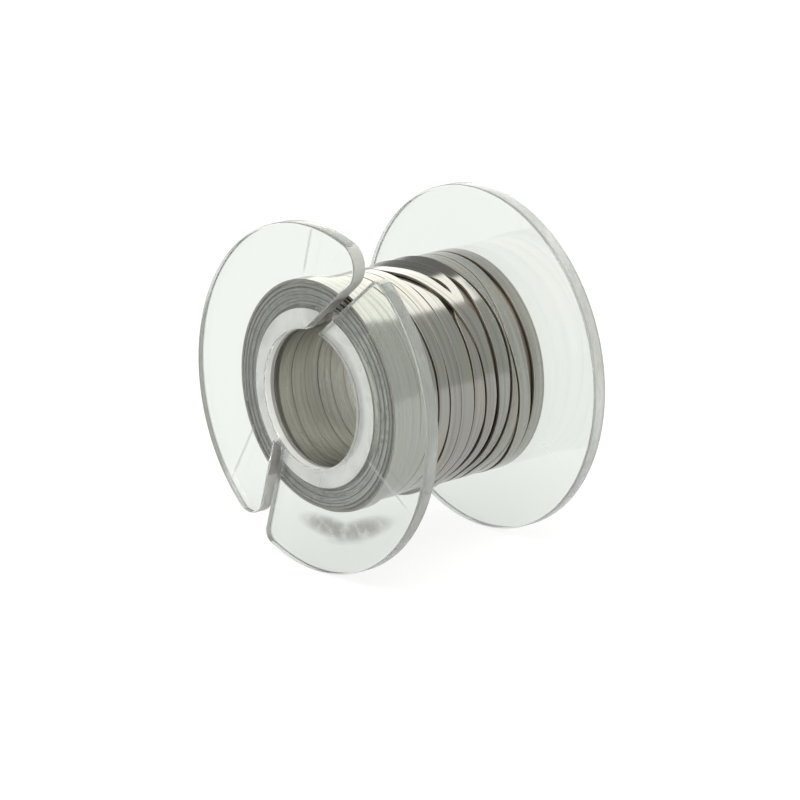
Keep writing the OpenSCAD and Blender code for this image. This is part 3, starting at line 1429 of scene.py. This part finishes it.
    def last_laps(self) -> list[Lap]:
        """The last turns, up to the back flange."""
        return [
            lap(
                (-30, 12.75, 1.95, 0.22, -0.50), (0, 13.36, 1.80, 0.18, -0.46),
                (8, 13.75, 1.50, 0.12, -0.40), (14, 14.10, 1.20, 0.06, -0.28),
                (19, 14.35, 1.00, 0.02, -0.14), (25, 14.52, 0.94), (30, 14.62, 0.94), (40, 14.55, 1.17),
                (50, 14.43, 1.47), (70, 14.40, 1.50), (85, 14.30, 1.46), (100, 14.36, 1.20),
                (115, 14.15, 1.05), (123, 13.90, 1.02), (130, 13.50, 1.10), (140, 12.70, 1.20),
            ),
            lap(
                (-20, 15.35, 1.50), (10, 15.42, 1.46), (20, 15.50, 1.40), (30, 15.80, 0.96),
                (40, 16.00, 0.62), (50, 16.14, 0.34), (60, 16.20, 0.14), (70, 16.13, 0.20),
                (80, 16.06, 0.46), (90, 15.96, 0.76), (100, 15.82, 1.04), (110, 15.63, 1.26),
                (118, 15.48, 1.42), (125, 15.32, 1.45), (135, 14.85, 1.45), (140, 14.30, 1.50),
            ),
            lap(
                (-20, 16.92, 1.40), (20, 16.94, 1.28), (30, 16.80, 1.32), (40, 16.66, 1.38),
                (50, 16.52, 1.52), (60, 16.38, 1.67), (70, 16.48, 1.57), (80, 16.68, 1.40),
                (90, 16.88, 1.36), (100, 17.05, 1.38), (110, 17.18, 1.43), (118, 17.36, 1.28),
                (128, 17.60, 1.10), (140, 17.95, 0.85), (180, 17.95, 0.90),
            ),
            lap(
                (-20, 18.45, 1.55), (15, 18.60, 1.45), (35, 18.72, 1.33), (75, 18.75, 1.30),
                (90, 18.72, 1.33), (110, 18.68, 1.38), (200, 18.62, 1.42), (270, 18.62, 1.42),
            ),
        ]

    def under_laps(self) -> list[Lap]:
        """Says how the turn of the layer below lies, which shows low down where the last turns part."""
        return [
            lap(
                (104, 16.90, 0.08), (118, 16.96, 0.14), (128, 16.72, 0.46), (135, 16.36, 0.95),
                (142, 15.92, 1.45), (150, 15.85, 1.50), (180, 15.85, 1.50, -0.27),
                (230, 15.85, 1.50, -0.30),
            ),
        ]

    def first_laps(self) -> list[Lap]:
        """Says how the first layer lies on the barrel.

        Returns:
            Its laps, which lie close with a few open gaps.
        """
        edges = (1.54, 3.12, 4.72, 6.34, 7.96, 9.52, 11.16, 12.70, 14.30, 15.85, 17.50, 19.05)
        gaps = (0.01, 0.10, 0.01, 0.12, 0.01, 0.02, 0.08, 0.01, 0.06, 0.01, 0.05)
        return [lap((0, edge, after - edge - gap)) for edge, after, gap in zip(edges, edges[1:], gaps)]

    def section(self, name: str, inner: float, outer: float, span: Span, edge_round: float) -> Piece:
        """Models the section of a ribbon or a layer, with round corners.

        Args:
            name: Name of the object.
            inner: Radius of its underside.
            outer: Radius of its top.
            span: Places of its front and back edges along Y.
            edge_round: Radius of its corners.

        Returns:
            The flat section.
        """
        section = section_plane(name, inner, outer, *span)
        round_corners(section, edge_round, self.edge_steps)
        return section

    def loose_ribbon(self, name: str, inner: float, lay: Lay, edge_round: float) -> Piece:
        """Models a closed ribbon in an even helix, before it is laid.

        Args:
            name: Name of the object.
            inner: Radius of its underside.
            lay: How it will lie, which gives its start and its turns.
            edge_round: Radius of its edges.

        Returns:
            The ribbon.
        """
        half = self.ribbon_w / 2
        ribbon = self.section(name, inner, inner + self.ribbon_t, (-half, half), edge_round)
        drop_face(ribbon)
        leave_edit()
        ribbon.rotation_euler = (0, math.radians(lay.start_deg), 0)
        settle(ribbon)
        steps = round(lay.turns * self.steps_per_turn)
        apply_modifier(
            ribbon,
            "SCREW",
            axis="Y",
            angle=FULL_TURN * lay.turns,
            screw_offset=self.loose_pitch * lay.turns,
            steps=steps,
            render_steps=steps,
            use_smooth_shade=False,
        )
        select_where(ribbon, "EDGE", lambda edge: len(edge.link_faces) == 1)
        bpy.ops.mesh.fill_holes(sides=0)
        turn_normals_out()
        return ribbon

    def lay_down(self, ribbon: Piece, lay: Lay) -> None:
        """Lays a loose ribbon down: each place gets its edge, width, lift and tilt.

        Args:
            ribbon: Ribbon in an even helix.
            lay: How it lies.
        """
        mesh = ribbon.data
        points = np.empty(len(mesh.vertices) * 3)
        mesh.vertices.foreach_get("co", points)
        x, y, z = points.reshape(-1, 3).T
        theta = np.degrees(np.arctan2(x, z))
        turn = np.round(y / self.loose_pitch - (theta - lay.start_deg) / 360)
        phi = theta + 360 * turn
        off = y - self.loose_pitch * (phi - lay.start_deg) / 360
        edge, width, lift, tilt = lay.at(phi)
        half = self.ribbon_w / 2
        across = np.where(off < 0, off + half, width - (half - off))
        radius = np.hypot(x, z) + lift + tilt * (1 - across / width)
        angle = np.radians(theta)
        along = self.sizes.front_face + edge + across
        laid = np.stack([radius * np.sin(angle), along, radius * np.cos(angle)], axis=1)
        mesh.vertices.foreach_set("co", laid.ravel())
        mesh.update()
        self.unroll(mesh, np.radians(phi) * self.sizes.wind_r, off)

    def unroll(self, mesh: bpy.types.Mesh, length: np.ndarray, across: np.ndarray) -> None:
        """Writes the ribbon's own UV map: its length along U and its width along V, in metres.

        Args:
            mesh: Laid ribbon.
            length: Length along the ribbon at each vertex.
            across: Distance from the ribbon's middle at each vertex.
        """
        while mesh.uv_layers:
            mesh.uv_layers.remove(mesh.uv_layers[0])
        loops = np.empty(len(mesh.loops), dtype=np.int64)
        mesh.loops.foreach_get("vertex_index", loops)
        layer = mesh.uv_layers.new(name="along_ribbon")
        layer.data.foreach_set("uv", np.stack([length[loops], across[loops]], axis=1).ravel())

    def laid_ribbon(self, name: str, inner: float, laps: Sequence[Lap], edge_round: float) -> Piece:
        """Models a stretch of ribbon where it lies.

        Args:
            name: Name of the object.
            inner: Radius of its underside where it isn't lifted.
            laps: The lies of each lap in order.
            edge_round: Radius of its edges.

        Returns:
            The ribbon.
        """
        lay = Lay(laps)
        ribbon = self.loose_ribbon(name, inner, lay, edge_round)
        self.lay_down(ribbon, lay)
        finish_shading(ribbon, self.shade_deg)
        return ribbon

    def inner_rings(self) -> Piece:
        """Models the inner layers, a closed ring for each, with ends that don't quite line up.

        Returns:
            The rings, joined as one object.
        """
        sizes = self.sizes
        inner = sizes.barrel_r + self.ribbon_t + 3 * self.layer_gap
        top = sizes.wind_r - self.ribbon_t - 2 * self.layer_gap
        layer_t = (top - inner) / len(self.layer_fronts)
        rings = []
        for number, front in enumerate(self.layer_fronts):
            low = inner + number * layer_t
            high = low + layer_t - self.layer_gap
            span = (sizes.front_face + front, sizes.wind_back - (front - self.layer_fronts[0]))
            ring = self.section(f"layer_{number}", low, high, span, self.pressed_round)
            turn_on_axis(ring, self.ring_sides)
            rings.append(ring)
        make_active(rings[0])
        for ring in rings:
            ring.select_set(True)
        bpy.ops.object.join()
        drum = named("ribbon_inner_layers")
        finish_shading(drum)
        return drum

    def build(self) -> None:
        """Models and dresses the ribbon."""
        metal = [self.finish.material()]
        top_inner = self.sizes.wind_r - self.ribbon_t
        top = self.laid_ribbon("ribbon_top_layer_laid", top_inner, self.top_laps(), self.edge_round)
        dress(top, Slot.RIBBON, metal, Node.TOP_LAYER)
        under = self.laid_ribbon("ribbon_under_turn", top_inner, self.under_laps(), self.edge_round)
        dress(under, Slot.RIBBON, metal)
        rings = self.inner_rings()
        # The ends of the inner layers take painted light on the right, their sides the painted shade of the
        # gaps between the turns.
        dress(rings, Slot.RIBBON, [self.ends_finish.material(), self.under_finish.material()], Node.CORE)
        paint_faces(rings, 1, lambda face: abs(face.normal.y) < self.side_share)
        first_inner = self.sizes.barrel_r + self.layer_gap
        first = self.laid_ribbon("ribbon_first_layer", first_inner, self.first_laps(), self.pressed_round)
        dress(first, Slot.RIBBON, [self.first_finish.material()])


# ---------------------------------------------------------------------------------------------------------
# The studio
# ---------------------------------------------------------------------------------------------------------


@dataclass(frozen=True)
class PaleFloor(Finish):
    """The floor's finish. What looks at it sees it nearly white, with the object's shadow."""

    colour: Colour = (0.9, 0.9, 0.9, 1.0)
    glow_share: float = 0.8
    glow_seen: float = 1.06
    glow_through: float = 0.91
    glow_reflected: float = 0.73

    def surface(self, bench: NodeBench) -> Socket:
        """Mixes a glow into the matt floor for all that looks at it.

        Args:
            bench: Node tree of the material.

        Returns:
            The floor's shader.
        """
        path = bench.add("LightPath").outputs
        seen, through = path["Is Camera Ray"], path["Is Transmission Ray"]
        looks = bench.math("MAXIMUM", bench.math("MAXIMUM", seen, through), path["Is Glossy Ray"])
        strength: object = self.glow_reflected
        for ray, level in ((through, self.glow_through), (seen, self.glow_seen)):
            strength = bench.math("MULTIPLY_ADD", ray, level - self.glow_reflected, strength)
        share = bench.math("MULTIPLY", looks, self.glow_share)
        matt = bench.filled("BsdfDiffuse", {"Color": self.colour}).outputs["BSDF"]
        glow = bench.filled("Emission", {"Strength": strength}).outputs["Emission"]
        return bench.filled("MixShader", {"Fac": share, 1: matt, 2: glow}).outputs["Shader"]


@dataclass
class Studio:
    """Pale floor, soft light and the camera."""

    floor_z: float
    floor_r: float = 4.0
    floor_sides: int = 128
    floor_finish: PaleFloor = PaleFloor("pale_floor")
    room: Colour = (0.58, 0.605, 0.57, 1.0)
    dark_side: Colour = (0.29, 0.29, 0.28, 1.0)
    room_span: Span = (0.49, 0.57)
    front_room: Colour = (1.6, 1.58, 1.52, 1.0)
    front_span: Span = (-0.05, 0.1)
    softbox: Colour = (2.3, 2.28, 2.18, 1.0)
    softbox_lean: float = 0.19
    softbox_left: Span = (-0.02, 0.02)
    softbox_behind: Span = (0.50, 0.58)
    softbox_above: Span = (0.02, 0.10)
    seen_through: Colour = (0.91, 0.91, 0.91, 1.0)
    backdrop: Colour = (1.0, 1.0, 1.0, 1.0)
    sun_strength: float = 1.2
    sun_angle_deg: float = 30.0
    sun_from: tuple[float, float, float] = (0.45, -0.28, 0.85)
    azimuth_deg: float = 49.5
    elevation_deg: float = 17.5
    distance: float = 0.515
    lens_mm: float = 242.0
    sensor_mm: float = 36.0
    clip: Span = (0.01, 20.0)
    aim_right: float = 0.036 * MM
    aim_up: float = -2.24 * MM
    bounces: int = 32
    glossy_bounces: int = 8

    def floor(self) -> None:
        """Adds the floor."""
        deselect_all()
        bpy.ops.mesh.primitive_circle_add(vertices=self.floor_sides, radius=self.floor_r, fill_type="NGON")
        floor = named("floor")
        floor.location = (0, 0, self.floor_z)
        settle(floor)
        floor.data.materials.append(self.floor_finish.material())

    def light(self) -> None:
        """Adds the room's light, a softbox behind on the left, and a soft lamp from the right."""
        world = bpy.data.worlds.new("soft_room")
        bpy.context.scene.world = world
        world.use_nodes = True
        bench = NodeBench(world.node_tree)
        x, y, z = bench.axes(bench.coords("Generated"))
        leaned = bench.math("MULTIPLY_ADD", y, self.softbox_lean, bench.math("MULTIPLY", x, -1.0))
        in_box = bench.step(leaned, self.softbox_left)
        for axis, span in ((y, self.softbox_behind), (z, self.softbox_above)):
            in_box = bench.math("MULTIPLY", in_box, bench.step(axis, span))
        path = bench.add("LightPath").outputs
        colour = bench.mix_colour(bench.step(y, self.room_span), self.dark_side, self.room)
        for share, over in (
            (bench.fall(y, self.front_span), self.front_room),
            (in_box, self.softbox),
            (path["Is Transmission Ray"], self.seen_through),
            (path["Is Camera Ray"], self.backdrop),
        ):
            colour = bench.mix_colour(share, colour, over)
        bench.finish(bench.filled("Background", {"Color": colour}).outputs["Background"], "World")
        deselect_all()
        bpy.ops.object.light_add(type="SUN", location=(0, 0, 1))
        lamp = bpy.context.object
        lamp.name = "soft_lamp"
        lamp.data.energy = self.sun_strength
        lamp.data.angle = math.radians(self.sun_angle_deg)
        lamp.rotation_euler = Vector(self.sun_from).to_track_quat("Z", "Y").to_euler()

    def camera(self) -> None:
        """Adds the camera, aimed at the spool."""
        a, e = math.radians(self.azimuth_deg), math.radians(self.elevation_deg)
        back = Vector((math.sin(a) * math.cos(e), -math.cos(a) * math.cos(e), math.sin(e)))
        right = Vector((math.cos(a), math.sin(a), 0))
        up = back.cross(right)
        aim = right * self.aim_right + up * self.aim_up
        data = bpy.data.cameras.new("camera")
        data.lens = self.lens_mm
        data.sensor_width = self.sensor_mm
        data.clip_start, data.clip_end = self.clip
        camera = bpy.data.objects.new("camera", data)
        bpy.context.scene.collection.objects.link(camera)
        turn = Matrix((right, up, back)).transposed().to_4x4()
        camera.matrix_world = Matrix.Translation(aim + back * self.distance) @ turn
        bpy.context.scene.camera = camera

    def set_up(self) -> None:
        """Sets the view, the light paths through clear plastic, and everything round the spool."""
        scene = bpy.context.scene
        scene.view_settings.view_transform = "Standard"
        scene.cycles.max_bounces = scene.cycles.transmission_bounces = self.bounces
        scene.cycles.glossy_bounces = self.glossy_bounces
        self.camera()
        self.floor()
        self.light()


def corners(box: Iterable[Iterable[float]]) -> list[list[float]]:
    """Turns a box into plain lists of numbers."""
    return [[float(value) for value in corner] for corner in box]


def main() -> None:
    """Builds the studio and the spool."""
    logging.basicConfig(level=logging.INFO, format="%(name)s: %(message)s")
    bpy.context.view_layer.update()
    sizes = SpoolSizes.from_frame()
    Studio(floor_z=-sizes.flange_r).set_up()
    Winding(sizes).build()
    ClearSpool(sizes).build()


if __name__ == "__main__":
    main()
